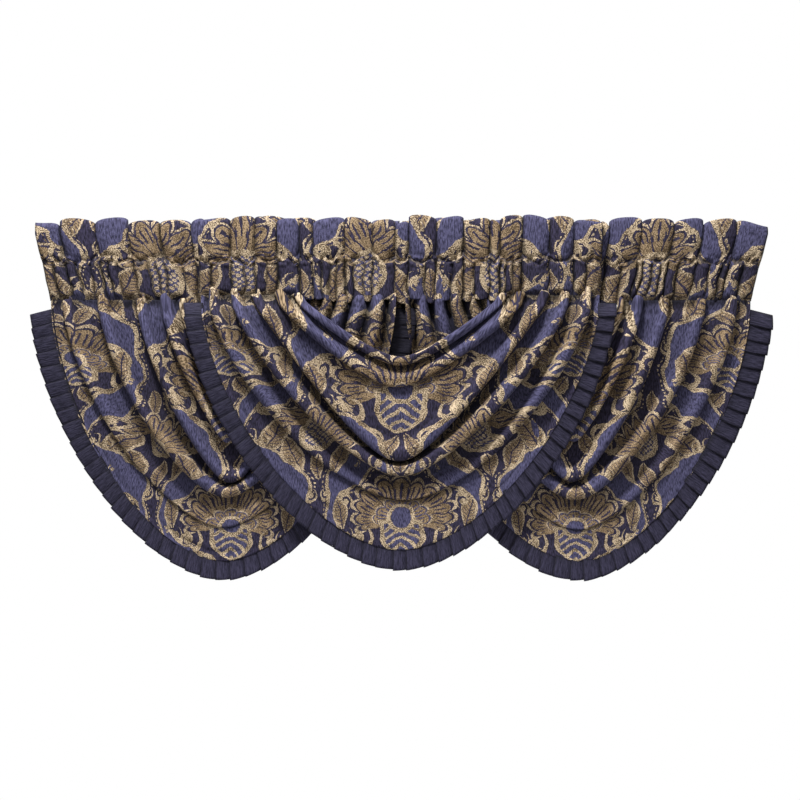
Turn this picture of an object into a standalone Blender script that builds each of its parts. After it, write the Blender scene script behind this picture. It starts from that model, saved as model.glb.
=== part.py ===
"""Three overlapping waterfall swag valances that share one rod line: left and right behind, centre in front.

Each valance is a gathered heading (a flat rod pocket over a shirred yoke), a swag draped in cowl folds
and sewn to the yoke at two shoulders, and a knife-pleated trim along the curved hem.
Metres, +Z up, the front towards -Y, the origin at the middle of the top edge.
"""

from collections import namedtuple
from math import ceil, pi

import bmesh
import bpy
import numpy as np

# ---------------------------------------------------------------- driving dimensions
CLOTH = 0.002  # thickness of every sheet
SEAM_GAP = 0.0007  # between a heading and the swag sewn to it
HEM_GAP = 0.0012  # between the hem of a swag and its trim

STITCH_LINE = 0.106  # top edge down to the stitched line under the rod pocket
POCKET_FRONT = 0.013  # front wall of the pocket, ahead of the yoke's plane
POCKET_BACK = 0.009  # back wall of the pocket, behind the yoke's plane
GROOVE_IN = 0.0045  # how far the cloth draws in between two puffed panels
GROOVE_DIP = 0.009  # how far the top edge dips between two panels
POCKET_HIGH = 0.010  # drop from the top edge to where the pocket's walls stand almost upright
POCKET_UPRIGHT = 0.985  # their depth there, as a share of their depth at the bottom
POCKET_LOW = 0.85  # where the pocket's walls start to close, as a share of the way to the stitch line
SLANT_START = 0.40  # where a heading's ends start to slant, as a share of the way to the stitch line
YOKE_GATHER = 0.0035  # shirring of the yoke, half its depth
STITCH_DIP = 0.003  # unevenness of the stitched line

SEAM_LEAD = 0.0035  # length of swag that hangs straight down from its seam
PUFF_LENGTH = 0.030  # drop over which a fold swells from its gathered seam
LEAN_LENGTH = 0.060  # drop over which the swag comes forward of its yoke
SKEW_WIDTH = 0.25  # reach, from the middle of the set, of the tilt that lets two side swags pass
SKEW_LENGTH = 0.020  # drop over which that tilt comes in
FACING_WIDTH = 0.3  # turned-back neckline, as a share of the way to the next fold
FACING_GAP = 0.007  # between the neckline and its facing

TRIM_START = 0.03  # where the trim begins, as an angle past the seam
PLEAT = 0.0365  # spacing of the knife pleats along the hem
PLEAT_LIFT = 0.0018  # half the step between one pleat and the next
PLEAT_FACE = 0.86  # share of each pleat taken by its flat face
TIP_ROUND = 0.12  # rounding of the lowest point of each fold
CREASE = 0.6  # angle between two faces past which the edge is shown sharp

SWAG_COLUMNS = 20  # sections from shoulder to shoulder
FOLD_STEPS = (0.0, 0.17, 0.45)  # rows within each fold, as shares of the way to the next

# A fold hangs as a curve |x/half_width|^square + |drop/drop_max|^square = 1 below the seam.
# tip shifts its lowest point sideways; shoulder, flank and middle are its relief, forward, there.
Fold = namedtuple("Fold", "half_width drop square tip shoulder flank middle")

CENTRE_FOLDS = (
    Fold(0.2575, 0.1575, 1.15, 0.000, 0.010, 0.014, 0.016),
    Fold(0.3000, 0.2100, 1.20, -0.010, 0.012, 0.018, 0.012),
    Fold(0.3600, 0.3950, 1.10, -0.006, 0.016, 0.024, 0.030),
    Fold(0.4100, 0.4300, 1.30, 0.000, 0.018, 0.028, 0.032),
    Fold(0.4650, 0.5000, 1.44, 0.010, 0.016, 0.024, 0.020),
    Fold(0.5000, 0.6300, 1.62, 0.000, 0.005, 0.004, 0.003),
)
CENTRE_EDGE = Fold(0.5450, 0.6850, 1.66, 0.000, 0.000, 0.000, 0.000)

LEFT_FOLDS = (
    Fold(0.1000, 0.2450, 1.15, 0.000, 0.009, 0.012, 0.012),
    Fold(0.1440, 0.3400, 1.20, 0.012, 0.012, 0.018, 0.018),
    Fold(0.2050, 0.4400, 1.28, 0.022, 0.014, 0.024, 0.026),
    Fold(0.3010, 0.4750, 1.42, 0.010, 0.014, 0.022, 0.024),
    Fold(0.3890, 0.5600, 1.48, 0.000, 0.012, 0.018, 0.014),
    Fold(0.4350, 0.6500, 1.66, 0.000, 0.004, 0.003, 0.003),
)
LEFT_EDGE = Fold(0.4900, 0.7025, 1.66, 0.000, 0.000, 0.000, 0.000)

RIGHT_FOLDS = (
    Fold(0.1050, 0.2350, 1.15, 0.000, 0.009, 0.012, 0.012),
    Fold(0.1500, 0.3350, 1.20, -0.010, 0.012, 0.018, 0.018),
    Fold(0.2150, 0.4350, 1.28, -0.020, 0.014, 0.024, 0.026),
    Fold(0.3060, 0.4800, 1.42, -0.010, 0.014, 0.022, 0.024),
    Fold(0.3850, 0.5650, 1.48, 0.000, 0.012, 0.018, 0.014),
    Fold(0.4350, 0.6500, 1.66, 0.000, 0.004, 0.003, 0.003),
)
RIGHT_EDGE = Fold(0.4950, 0.7025, 1.66, 0.000, 0.000, 0.000, 0.000)

# From one fold's ridge (along 0) to the next (along 1): how far down the cloth lies between the two,
# and how much of its own and of the next ridge's relief it has. The ridge falls steeply, as a wave breaks.
Wave = namedtuple("Wave", "along down own following")
WAVE = (
    Wave(0.00, 0.000, 1.00, 0.00),
    Wave(0.08, 0.070, 0.88, 0.00),
    Wave(0.15, 0.100, 0.60, 0.00),
    Wave(0.23, 0.115, 0.28, 0.00),
    Wave(0.32, 0.160, 0.06, 0.00),
    Wave(0.42, 0.290, 0.00, 0.00),
    Wave(0.56, 0.500, 0.00, 0.10),
    Wave(0.70, 0.660, 0.00, 0.44),
    Wave(0.84, 0.800, 0.00, 0.82),
    Wave(1.00, 1.000, 0.00, 1.00),
)

# middle and seam place the swag; layer is the depth of its yoke; lean is how far it hangs forward of that;
# skew tips the swag's inner side forward (negative) or back. top and panels shape the heading, whose
# seven even panels lie behind the centre one.
Valance = namedtuple("Valance", "name middle seam layer lean skew folds edge top panels")

VALANCES = (
    Valance(
        "left", -0.4440, 0.2060, 0.0112, 0.006, -0.014, LEFT_FOLDS, LEFT_EDGE, (-0.915, -0.0035),
        (0.061, 0.089, 0.082, 0.080, 0.078, 0.034) + (0.0700,) * 7,
    ),
    Valance(
        "right", 0.4425, 0.2070, 0.0112, 0.006, 0.009, RIGHT_FOLDS, RIGHT_EDGE, (0.0035, 0.9175),
        (0.0712,) * 7 + (0.022, 0.082, 0.080, 0.074, 0.084, 0.077),
    ),
    Valance(
        "centre", -0.0020, 0.1950, -0.0112, 0.022, 0.000, CENTRE_FOLDS, CENTRE_EDGE, (-0.5060, 0.5020),
        (0.081, 0.061, 0.055, 0.057, 0.034, 0.080, 0.070, 0.057, 0.034,
         0.070, 0.068, 0.066, 0.026, 0.056, 0.068, 0.061, 0.071),
    ),
)

DAMASK = ("damask", (0.045, 0.043, 0.105, 1.0), 0.85)
TRIM = ("plain trim", (0.022, 0.023, 0.060, 1.0), 0.75)


# ---------------------------------------------------------------- helpers
def clear_scene():
    for thing in list(bpy.data.objects):
        bpy.data.objects.remove(thing, do_unlink=True)


def fabric(name, colour, roughness):
    material = bpy.data.materials.new(name)
    material.use_nodes = True
    shader = material.node_tree.nodes["Principled BSDF"]
    shader.inputs["Base Color"].default_value = colour
    shader.inputs["Roughness"].default_value = roughness
    return material


def smooth(value):
    """0 below 0, 1 above 1, and an S curve between."""
    value = np.clip(value, 0.0, 1.0)
    return value * value * (3.0 - 2.0 * value)


def new_object(name, shape, material, collection):
    """An object from a bmesh, shaded smooth."""
    mesh = bpy.data.meshes.new(name)
    shape.to_mesh(mesh)
    shape.free()
    mesh.materials.append(material)
    mesh.shade_smooth()
    mesh.set_sharp_from_angle(angle=CREASE)
    thing = bpy.data.objects.new(name, mesh)
    collection.objects.link(thing)
    return thing


def sheet(name, across, along, place, material, collection):
    """A grid of across by along values, each vertex moved to place(across, along), made CLOTH thick."""
    shape = bmesh.new()
    bmesh.ops.create_grid(shape, x_segments=len(across) - 1, y_segments=len(along) - 1, size=0.5)
    shape.verts.ensure_lookup_table()
    for vertex in shape.verts:
        column = round((vertex.co.x + 0.5) * (len(across) - 1))
        row = round((vertex.co.y + 0.5) * (len(along) - 1))
        vertex.co = place(across[column], along[row])
    thing = new_object(name, shape, material, collection)
    solid = thing.modifiers.new("cloth", "SOLIDIFY")
    solid.thickness = CLOTH
    solid.offset = 0.0
    return thing


# ---------------------------------------------------------------- the draped surface
def curve(at, steps, values):
    """A smooth curve through values at steps, read at at; its slope at each step is the mean either side."""
    steps = np.asarray(steps, float)
    values = np.asarray(values, float)
    slopes = np.gradient(values, steps)
    span = np.clip(np.searchsorted(steps, at, side="right") - 1, 0, len(steps) - 2)
    width = steps[span + 1] - steps[span]
    share = np.clip((at - steps[span]) / width, 0.0, 1.0)
    rise = smooth(share)
    leave = share * (1.0 - share) ** 2 * slopes[span]
    arrive = share**2 * (1.0 - share) * slopes[span + 1]
    return values[span] * (1.0 - rise) + values[span + 1] * rise + (leave - arrive) * width


def wave(share, field):
    return curve(share, [row.along for row in WAVE], [getattr(row, field) for row in WAVE])


def column(folds, place, field):
    """A column of the fold table, read between its rows."""
    return np.interp(place, np.arange(len(folds)), [getattr(fold, field) for fold in folds])


def hang(valance, folds, angle, place):
    """x and drop of the fold curve at place (0 the neckline), angle 0 to pi from right to left."""
    square = column(folds, place, "square")
    side = np.sqrt(np.cos(angle) ** 2 + TIP_ROUND**2)
    down = abs(np.sin(angle))
    reach = (side**square + down**square - TIP_ROUND**square * down**2) ** (-1.0 / square)
    x = column(folds, place, "half_width") * reach * np.cos(angle)
    x += column(folds, place, "tip") * down**3
    return valance.middle + x, column(folds, place, "drop") * reach * down


def relief(folds, angle, place):
    """The forward relief of the ridge at place, from its shoulder, flank and middle values."""
    down = abs(np.sin(angle))
    shoulder = column(folds, place, "shoulder")
    flank = column(folds, place, "flank")
    middle = column(folds, place, "middle")
    return shoulder + (middle - shoulder) * smooth(down) + (2.0 * flank - shoulder - middle) * 2.0 * (
        down - down**2
    )


def uneven(angle, place, valance):
    """A slow, shallow wander of the cloth, forward, that differs between the valances."""
    start = valance.middle * 9.0
    return 0.0022 * np.sin(3.1 * angle + 1.9 * place + start) + 0.0015 * np.sin(5.3 * angle - 1.3 * place)


def swag_point(valance, angle, place, back=0.0):
    """A point of the swag: place counts folds from the neckline (0) to the hem; back sets it behind."""
    folds = valance.folds
    fold = np.minimum(np.floor(place), len(folds) - 2)
    share = place - fold
    x, drop = hang(valance, folds, angle, fold + wave(share, "down"))
    drop = drop + SEAM_LEAD * ((angle > 0.0) & (angle < pi))
    gathered = np.clip(1.0 - (drop - SEAM_LEAD) / PUFF_LENGTH, 0.0, 1.0)
    swell = np.sqrt(1.0 - gathered**2)
    ridge = wave(share, "own") * relief(folds, angle, fold)
    ridge = ridge + wave(share, "following") * relief(folds, angle, fold + 1)
    lean = (valance.lean + uneven(angle, place, valance)) * smooth(drop / LEAN_LENGTH)
    inner = smooth(1.0 - abs(x) / SKEW_WIDTH) * smooth(drop / SKEW_LENGTH)
    y = valance.layer - ridge * swell - lean + back + valance.skew * inner
    return x, y, -valance.seam - SEAM_GAP - drop


def swag_angles():
    """Angles of the swag's sections, with a short first and last one that hangs straight."""
    spread = np.linspace(0.055, pi - 0.055, SWAG_COLUMNS - 4)
    lead = 0.0001
    return np.concatenate(([0.0, lead], spread, [pi - lead, pi]))


def make_swag(valance, material, collection):
    last = len(valance.folds) - 1
    rows = [("facing", FACING_WIDTH), ("facing", 0.03)]
    for fold in range(last):
        rows += [("front", fold + step) for step in FOLD_STEPS]
    rows += [("front", last - 0.45), ("front", float(last))]

    def place(angle, row):
        kind, where = row
        if kind == "facing":
            return swag_point(valance, angle, where, back=FACING_GAP)
        return swag_point(valance, angle, where)

    return sheet(f"swag_{valance.name}", swag_angles(), rows, place, material, collection)


# ---------------------------------------------------------------- the pleated trim
def hem_angles(valance):
    """Angles along the hem at each pleat's two edges, evenly spaced by length."""
    fine = np.linspace(TRIM_START, pi - TRIM_START, 400)
    last = len(valance.folds) - 1.0
    points = np.array([swag_point(valance, angle, last) for angle in fine])
    length = np.concatenate(([0.0], np.cumsum(np.linalg.norm(np.diff(points, axis=0), axis=1))))
    pleats = ceil(length[-1] / PLEAT)
    edges = [(pleat + step) / pleats for pleat in range(pleats) for step in (0.0, PLEAT_FACE)]
    return np.interp(np.array(edges + [1.0]) * length[-1], length, fine)


def make_trim(valance, material, collection):
    last = len(valance.folds) - 1.0
    rings = valance.folds[-1:] + (valance.edge,)

    def place(column, across):
        angle, lift = column
        start = np.array(swag_point(valance, angle, last))
        x, drop = hang(valance, rings, angle, 1.0)
        edge = np.array((x, start[1] + 0.012 * (1.0 - np.sin(angle)), -valance.seam - drop))
        outward = edge - start
        outward /= np.linalg.norm(outward)
        start += outward * HEM_GAP
        point = start + (edge - start) * across
        point[1] -= lift * (0.35 + 0.65 * across)
        return point

    angles = hem_angles(valance)
    columns = [(angle, PLEAT_LIFT * (1 if count % 2 else -1)) for count, angle in enumerate(angles)]
    return sheet(f"trim_{valance.name}", columns, (0.0, 1.0), place, material, collection)


# ---------------------------------------------------------------- the gathered heading
def heading_sections(valance):
    """Shares along the heading of each groove and panel middle, each with its puff from 0 to 1."""
    edges = np.concatenate(([0.0], np.cumsum(valance.panels))) / sum(valance.panels)
    sections = [(0.0, 0.35)]
    for start, stop in zip(edges[:-1], edges[1:]):
        sections += [((start + stop) / 2.0, 1.0), (stop, 0.0)]
    sections[-1] = (1.0, 0.35)
    return sections


def heading_loops(valance, share, puff, count):
    """One cross-section: the outer loop and the rod pocket's loop inside it."""
    half = valance.folds[-1].half_width
    top_x = valance.top[0] + (valance.top[1] - valance.top[0]) * share
    low_x = valance.middle + half * (2.0 * share - 1.0)
    front = POCKET_FRONT - GROOVE_IN * (1.0 - puff)
    back = POCKET_BACK
    top = -GROOVE_DIP * (1.0 - puff)
    stitch = -STITCH_LINE + STITCH_DIP * np.sin(count * 2.4)
    gather = YOKE_GATHER * (1 if count % 2 else -1)
    half_cloth = CLOTH / 2.0
    bottom = -valance.seam

    def at(y, z):
        slant = np.clip((z + STITCH_LINE * SLANT_START) / (bottom + STITCH_LINE * SLANT_START), 0.0, 1.0)
        return top_x + (low_x - top_x) * slant, valance.layer + y, z

    outer = [
        at(0.0, top),
        at(-front * POCKET_UPRIGHT, top - POCKET_HIGH),
        at(-front, -STITCH_LINE * POCKET_LOW),
        at(-half_cloth, stitch),
        at(-half_cloth - gather, (stitch + bottom) / 2.0),
        at(-half_cloth, bottom),
        at(half_cloth, bottom),
        at(half_cloth - gather, (stitch + bottom) / 2.0),
        at(half_cloth, stitch),
        at(back, -STITCH_LINE * POCKET_LOW),
        at(back * POCKET_UPRIGHT, top - POCKET_HIGH),
    ]
    inner = [
        at(0.0, top - CLOTH),
        at(-front * POCKET_UPRIGHT + CLOTH, top - POCKET_HIGH - CLOTH),
        at(-front + CLOTH, -STITCH_LINE * POCKET_LOW),
        at(0.0, stitch + 0.010),
        at(back - CLOTH, -STITCH_LINE * POCKET_LOW),
        at(back * POCKET_UPRIGHT - CLOTH, top - POCKET_HIGH - CLOTH),
    ]
    return outer, inner


# The end face joins the outer loop's points to the inner loop's; each row is a face, o outer and i inner.
END_FACES = (
    "o0 o1 i1 i0", "o1 o2 i2 i1", "o2 o3 i3 i2", "o9 o10 i5 i4", "o10 o0 i0 i5", "o8 o9 i4 i3",
    "o3 o8 i3", "o3 o4 o7 o8", "o4 o5 o6 o7",
)


def join_loops(shape, near, far):
    """Triangles between two loops, split alike in front and behind, so that the two walls keep apart."""
    for corner in range(len(near)):
        before = corner - 1
        if 0 < corner <= len(near) // 2:
            splits = ((near[before], near[corner], far[corner]), (near[before], far[corner], far[before]))
        else:
            splits = ((near[before], near[corner], far[before]), (near[corner], far[corner], far[before]))
        for split in splits:
            shape.faces.new(split)


def make_heading(valance, material, collection):
    """A loft through the cross-sections, with the rod pocket open at both ends."""
    shape = bmesh.new()
    loops = []
    for count, (share, puff) in enumerate(heading_sections(valance)):
        outer, inner = heading_loops(valance, share, puff, count)
        loops.append(([shape.verts.new(p) for p in outer], [shape.verts.new(p) for p in inner]))
    for here, following in zip(loops[:-1], loops[1:]):
        for near, far in zip(here, following):
            join_loops(shape, near, far)
    for outer, inner in (loops[0], loops[-1]):
        for face in END_FACES:
            corners = [(outer if name[0] == "o" else inner)[int(name[1:])] for name in face.split()]
            shape.faces.new(corners)
    bmesh.ops.recalc_face_normals(shape, faces=shape.faces)
    return new_object(f"heading_{valance.name}", shape, material, collection)


# ---------------------------------------------------------------- build
def main():
    clear_scene()
    collection = bpy.data.collections.new("swag valances")
    bpy.context.scene.collection.children.link(collection)
    damask = fabric(*DAMASK)
    trim = fabric(*TRIM)
    for valance in VALANCES:
        make_heading(valance, damask, collection)
        make_swag(valance, damask, collection)
        make_trim(valance, trim, collection)


main()
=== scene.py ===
"""Looks of the three waterfall swag valances: draped damask swags, gathered headings and pleated trims.

Every cloth is a thin sheet on the folds of its own solid. Metres, +Z up, the front towards -Y.
"""

from collections import namedtuple
from functools import partial, partialmethod
from math import ceil, pi, radians
from types import SimpleNamespace

import bmesh
import bpy
import numpy as np
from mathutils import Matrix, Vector, noise


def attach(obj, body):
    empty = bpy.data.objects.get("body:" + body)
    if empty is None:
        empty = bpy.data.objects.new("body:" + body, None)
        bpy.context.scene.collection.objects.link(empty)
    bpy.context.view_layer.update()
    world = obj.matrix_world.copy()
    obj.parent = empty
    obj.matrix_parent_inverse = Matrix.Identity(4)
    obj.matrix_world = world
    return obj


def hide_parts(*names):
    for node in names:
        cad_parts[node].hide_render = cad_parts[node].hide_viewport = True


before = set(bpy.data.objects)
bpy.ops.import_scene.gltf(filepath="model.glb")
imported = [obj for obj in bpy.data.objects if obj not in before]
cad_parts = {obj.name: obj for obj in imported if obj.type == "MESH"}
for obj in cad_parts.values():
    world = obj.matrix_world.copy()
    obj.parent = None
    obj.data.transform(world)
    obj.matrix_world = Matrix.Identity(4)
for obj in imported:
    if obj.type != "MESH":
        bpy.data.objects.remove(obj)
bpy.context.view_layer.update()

# ---------------------------------------------------------------- the model's own sizes
SEAM_GAP = 0.0007  # between a heading and the swag sewn to it
STITCH_LINE = 0.106  # top edge down to the stitched line under the rod pocket
POCKET_FRONT = 0.013  # front wall of the pocket, ahead of the yoke's plane
POCKET_BACK = 0.009  # back wall of the pocket, behind the yoke's plane
SLANT_START = 0.40  # where a heading's ends start to slant, as a share of the way to the stitch line
SEAM_LEAD = 0.0035  # length of swag that hangs straight down from its seam
LEAN_LENGTH = 0.060  # drop over which the swag comes forward of its yoke
SKEW_WIDTH = 0.25  # reach, from the middle of the set, of the tilt that lets two side swags pass
SKEW_LENGTH = 0.020  # drop over which that tilt comes in
TRIM_START = 0.03  # where the trim begins, as an angle past the seam
PLEAT = 0.0365  # spacing of the knife pleats along the hem
TIP_ROUND = 0.12  # rounding of the lowest point of each fold

# A fold hangs as a curve |x/half_width|^square + |drop/drop_max|^square = 1 below the seam.
# tip shifts its lowest point sideways; shoulder, flank and middle are its relief, forward, there.
Fold = namedtuple("Fold", "half_width drop square tip shoulder flank middle")

CENTRE_FOLDS = (
    Fold(0.2575, 0.1575, 1.15, 0.000, 0.010, 0.014, 0.016),
    Fold(0.3000, 0.2100, 1.20, -0.010, 0.012, 0.018, 0.012),
    Fold(0.3600, 0.3950, 1.10, -0.006, 0.016, 0.024, 0.030),
    Fold(0.4100, 0.4300, 1.30, 0.000, 0.018, 0.028, 0.032),
    Fold(0.4650, 0.5000, 1.44, 0.010, 0.016, 0.022, 0.004),
    Fold(0.5000, 0.6300, 1.62, 0.000, 0.005, 0.004, 0.003),
)
CENTRE_EDGE = Fold(0.5450, 0.6850, 1.66, 0.000, 0.000, 0.000, 0.000)

LEFT_FOLDS = (
    Fold(0.1000, 0.2450, 1.15, 0.000, 0.009, 0.012, 0.012),
    Fold(0.1440, 0.3400, 1.20, 0.012, 0.012, 0.018, 0.018),
    Fold(0.2050, 0.4400, 1.28, 0.022, 0.014, 0.024, 0.026),
    Fold(0.3010, 0.4750, 1.42, 0.010, 0.014, 0.022, 0.024),
    Fold(0.3890, 0.5600, 1.48, 0.000, 0.012, 0.016, 0.003),
    Fold(0.4350, 0.6500, 1.66, 0.000, 0.004, 0.003, 0.003),
)
LEFT_EDGE = Fold(0.4900, 0.7025, 1.66, 0.000, 0.000, 0.000, 0.000)

RIGHT_FOLDS = (
    Fold(0.1050, 0.2350, 1.15, 0.000, 0.009, 0.012, 0.012),
    Fold(0.1500, 0.3350, 1.20, -0.010, 0.012, 0.018, 0.018),
    Fold(0.2150, 0.4350, 1.28, -0.020, 0.014, 0.024, 0.026),
    Fold(0.3060, 0.4800, 1.42, -0.010, 0.014, 0.022, 0.024),
    Fold(0.3850, 0.5650, 1.48, 0.000, 0.012, 0.016, 0.003),
    Fold(0.4350, 0.6500, 1.66, 0.000, 0.004, 0.003, 0.003),
)
RIGHT_EDGE = Fold(0.4950, 0.7025, 1.66, 0.000, 0.000, 0.000, 0.000)

# middle and seam place the swag; layer is the depth of its yoke; lean is how far it hangs forward of that;
# skew tips the swag's inner side forward (negative) or back. top and panels shape the heading, whose
# seven even panels lie behind the centre one; low is where its ends come to at the seam. seed sets its own
# unevenness, motif its pattern's middle.
Valance = namedtuple("Valance", "name middle seam layer lean skew folds edge top panels low seed motif")

VALANCES = (
    Valance(
        "left", -0.4440, 0.2060, 0.0112, 0.006, -0.014, LEFT_FOLDS, LEFT_EDGE, (-0.915, -0.0035),
        (0.061, 0.089, 0.082, 0.080, 0.078, 0.034) + (0.0700,) * 7,
        (-0.879, 0.004), 11, (0.022, -0.7570),
    ),
    Valance(
        "right", 0.4425, 0.2070, 0.0112, 0.006, 0.009, RIGHT_FOLDS, RIGHT_EDGE, (0.0035, 0.9175),
        (0.0712,) * 7 + (0.022, 0.082, 0.080, 0.074, 0.084, 0.077),
        (-0.004, 0.8775), 23, (-0.008, -0.7620),
    ),
    Valance(
        "centre", -0.0020, 0.1950, -0.0112, 0.022, 0.000, CENTRE_FOLDS, CENTRE_EDGE, (-0.5060, 0.5020),
        (0.081, 0.061, 0.055, 0.057, 0.034, 0.080, 0.070, 0.057, 0.034,
         0.070, 0.068, 0.066, 0.026, 0.056, 0.068, 0.061, 0.071), (-0.502, 0.498), 5, (0.002, -0.7420),
    ),
)

# ---------------------------------------------------------------- finer cloth than the model's
CLOTH = 0.0014  # thickness of every sheet

# One fold of cloth, from its ridge (along 0) to the next (along 1). How far down between the two it lies is
# fall times the width of the steep drop under a ridge, plus rise times the width of the slope up to the next
# ridge, plus whole. It has own of this ridge's relief and following of the next one's.
Wave = namedtuple("Wave", "along fall rise whole own following")
WAVE = (
    Wave(0.00, 0.00, 0.00, 0.00, 1.00, 0.00),
    Wave(0.05, 0.45, 0.00, 0.00, 0.97, 0.00),
    Wave(0.10, 0.85, 0.00, 0.00, 0.87, 0.00),
    Wave(0.15, 1.10, 0.00, 0.00, 0.70, 0.00),
    Wave(0.20, 1.20, 0.00, 0.00, 0.48, 0.00),
    Wave(0.25, 1.08, 0.00, 0.00, 0.24, 0.00),
    Wave(0.30, 0.90, 0.00, 0.00, 0.05, 0.00),
    Wave(0.35, 1.00, 0.00, 0.10, -0.04, 0.00),
    Wave(0.58, 0.00, -1.00, 1.00, 0.00, 0.03),
    Wave(0.67, 0.00, -0.80, 1.00, 0.00, 0.20),
    Wave(0.77, 0.00, -0.60, 1.00, 0.00, 0.52),
    Wave(0.87, 0.00, -0.38, 1.00, 0.00, 0.82),
    Wave(0.94, 0.00, -0.19, 1.00, 0.00, 0.96),
    Wave(1.00, 0.00, 0.00, 1.00, 0.00, 1.00),
)
FALL = 0.013  # width of the drop under a ridge
FALL_MOST = 0.34  # its greatest share of the way to the next ridge
FALL_RELIEF = 0.012  # a ridge lower than this has less of it
FALL_LEAST = 0.2  # down to this share
RISE_SEAM = 0.013  # width of the slope up to a ridge, at the seam
RISE_MIDDLE = 0.031  # and in the middle
RISE_MOST = 0.50  # its greatest share of the way from the last ridge
RISE_VARIES = 0.45  # how much it wanders along a ridge
RIDGE_GAP = 0.001  # least distance between two ridges
RELIEF_VARIES = 0.26
RELIEF_MORE = 0.46  # how much deeper the folds are than the model's
HIDDEN_WIDTH = (0.40, 0.16)  # side folds this near the set's middle aren't; over how much they get so
HEIGHT_LIMIT = 0.033  # relief from which it grows ever less
SOFT_LIMIT = 0.013  # and the most that it still does
PUFF_LENGTH = 0.026  # drop over which a fold swells from its gathered seam
PUFF_RISE = 0.021  # how far its swollen top rises over the seam
PUFF_VARIES = 0.9
PUFF_FULL = 0.024  # relief of a fold that swells fully
SWAY = (0.0022, 3.1, 1.9, 9.0)  # wander of the cloth: depth, and change along a fold, by fold and by valance
SHIVER = (0.0015, 5.3, -1.3)  # a faster one
SHADE_ABOVE = 0.49  # how much of the light a ridge keeps off the cloth under it
SHADE_BELOW = 0.22  # and the next ridge, off the cloth over it
SHADE_REACH = 1.1  # how far that reaches, in ridge heights
SEAM_SHADE = 0.80  # how much darker the hollows beside a seam are
SEAM_SHADE_LENGTH = 0.034
SEAM_HOLLOW = 0.010  # relief where a fold is out of that shade
TINY = 1e-6  # keeps a divisor from 0

# Unevenness as noise: bumps in a unit along, how they lean with the way down, where they start, bumps in a
# unit down, how those turn with the way along, and their seed.
NOISE_STEP = 7.31  # how far apart the noise of two seeds is
Bumps = namedtuple("Bumps", "along lean start down turn seed")
RIDGES = Bumps(1.7, 5.3, 0.0, 3.7, 0.0, 20)
CREASES = Bumps(7.0, 0.0, 0.0, 5.5, 2.0, 0)
SWELLS = Bumps(4.0, 0.0, 9.0, 2.6, 0.0, 1)
DIMPLES = Bumps(26.0, 0.0, 0.0, 4.0, 0.0, 2)
GATHERS = Bumps(20.0, 0.0, 0.0, 1.0, 0.0, 3)
PANELS = Bumps(25.0, 0.0, 0.0, 3.0, 0.0, 0)
STITCHES = Bumps(38.0, 0.0, 0.0, 3.0, 0.0, 0)
PUCKERS = Bumps(40.0, 0.0, 0.0, 0.0, 0.0, 0)
KNOTS = Bumps(75.0, 0.0, 0.0, 9.0, 0.0, 7)
YOKE = Bumps(90.0, 2.0, 0.0, 3.0, 0.0, 4)
YOKE_VALLEYS = Bumps(16.0, 0.0, 0.0, 2.4, 0.0, 6)
TRIMS = Bumps(60.0, 0.0, 0.0, 2.0, 0.0, 5)


def smooth(value):
    """0 below 0, 1 above 1, and an S curve between."""
    value = np.clip(value, 0.0, 1.0)
    return value * value * (3.0 - 2.0 * value)


def ramp(value, start, width):
    """0 below start, 1 from a width past it."""
    return smooth((value - start) / width)


def fade(value, start, stop):
    """1 below start, 0 above stop."""
    return smooth((stop - value) / (stop - start))


def curve(at, steps, values):
    """A smooth curve through values at steps, read at at, that never swings past them."""
    steps = np.asarray(steps, float)
    values = np.asarray(values, float)
    rises = np.diff(values) / np.diff(steps)
    both = rises[1:] + rises[:-1]
    mean = 2.0 * rises[1:] * rises[:-1] / np.where(both == 0.0, 1.0, both)
    slopes = np.concatenate((rises[:1], np.where(rises[1:] * rises[:-1] > 0.0, mean, 0.0), rises[-1:]))
    span = np.clip(np.searchsorted(steps, at, side="right") - 1, 0, len(steps) - 2)
    width = steps[span + 1] - steps[span]
    share = np.clip((at - steps[span]) / width, 0.0, 1.0)
    rise = smooth(share)
    leave = share * (1.0 - share) ** 2 * slopes[span]
    arrive = share**2 * (1.0 - share) * slopes[span + 1]
    return values[span] * (1.0 - rise) + values[span + 1] * rise + (leave - arrive) * width


def wave(share, field):
    """A field of WAVE at a share of the way from one ridge to the next."""
    return curve(share, [row.along for row in WAVE], [getattr(row, field) for row in WAVE])


def rough(valance, bumps, along, down):
    """Smooth noise from -1 to 1 over arrays along and down."""
    x = along * bumps.along + down * bumps.lean + bumps.start
    y = down * bumps.down + along * bumps.turn
    x, y = np.broadcast_arrays(x, y)
    level = (valance.seed + bumps.seed) * NOISE_STEP
    values = [noise.noise(Vector((a, b, level))) for a, b in zip(x.ravel(), y.ravel())]
    return np.array(values).reshape(x.shape)


def column(folds, place, field):
    """A column of the fold table, read between its rows."""
    return np.interp(place, np.arange(len(folds)), [getattr(fold, field) for fold in folds])


def is_side(valance):
    """Whether it hangs in the back layer, partly behind the centre one."""
    return valance.layer > 0.0


def hang(valance, folds, angle, place):
    """x and drop of the fold curve at place (0 the neckline), angle 0 to pi from right to left."""
    square = column(folds, place, "square")
    side = np.sqrt(np.cos(angle) ** 2 + TIP_ROUND**2)
    down = abs(np.sin(angle))
    reach = (side**square + down**square - TIP_ROUND**square * down**2) ** (-1.0 / square)
    x = column(folds, place, "half_width") * reach * np.cos(angle)
    x = x + column(folds, place, "tip") * down**3
    return valance.middle + x, column(folds, place, "drop") * reach * down


def relief(folds, angle, place):
    """The forward relief of the ridge at place, from its shoulder, flank and middle values."""
    down = abs(np.sin(angle))
    shoulder = column(folds, place, "shoulder")
    flank = column(folds, place, "flank")
    middle = column(folds, place, "middle")
    bulge = (2.0 * flank - shoulder - middle) * 2.0 * (down - down**2)
    return shoulder + (middle - shoulder) * smooth(down) + bulge


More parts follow.
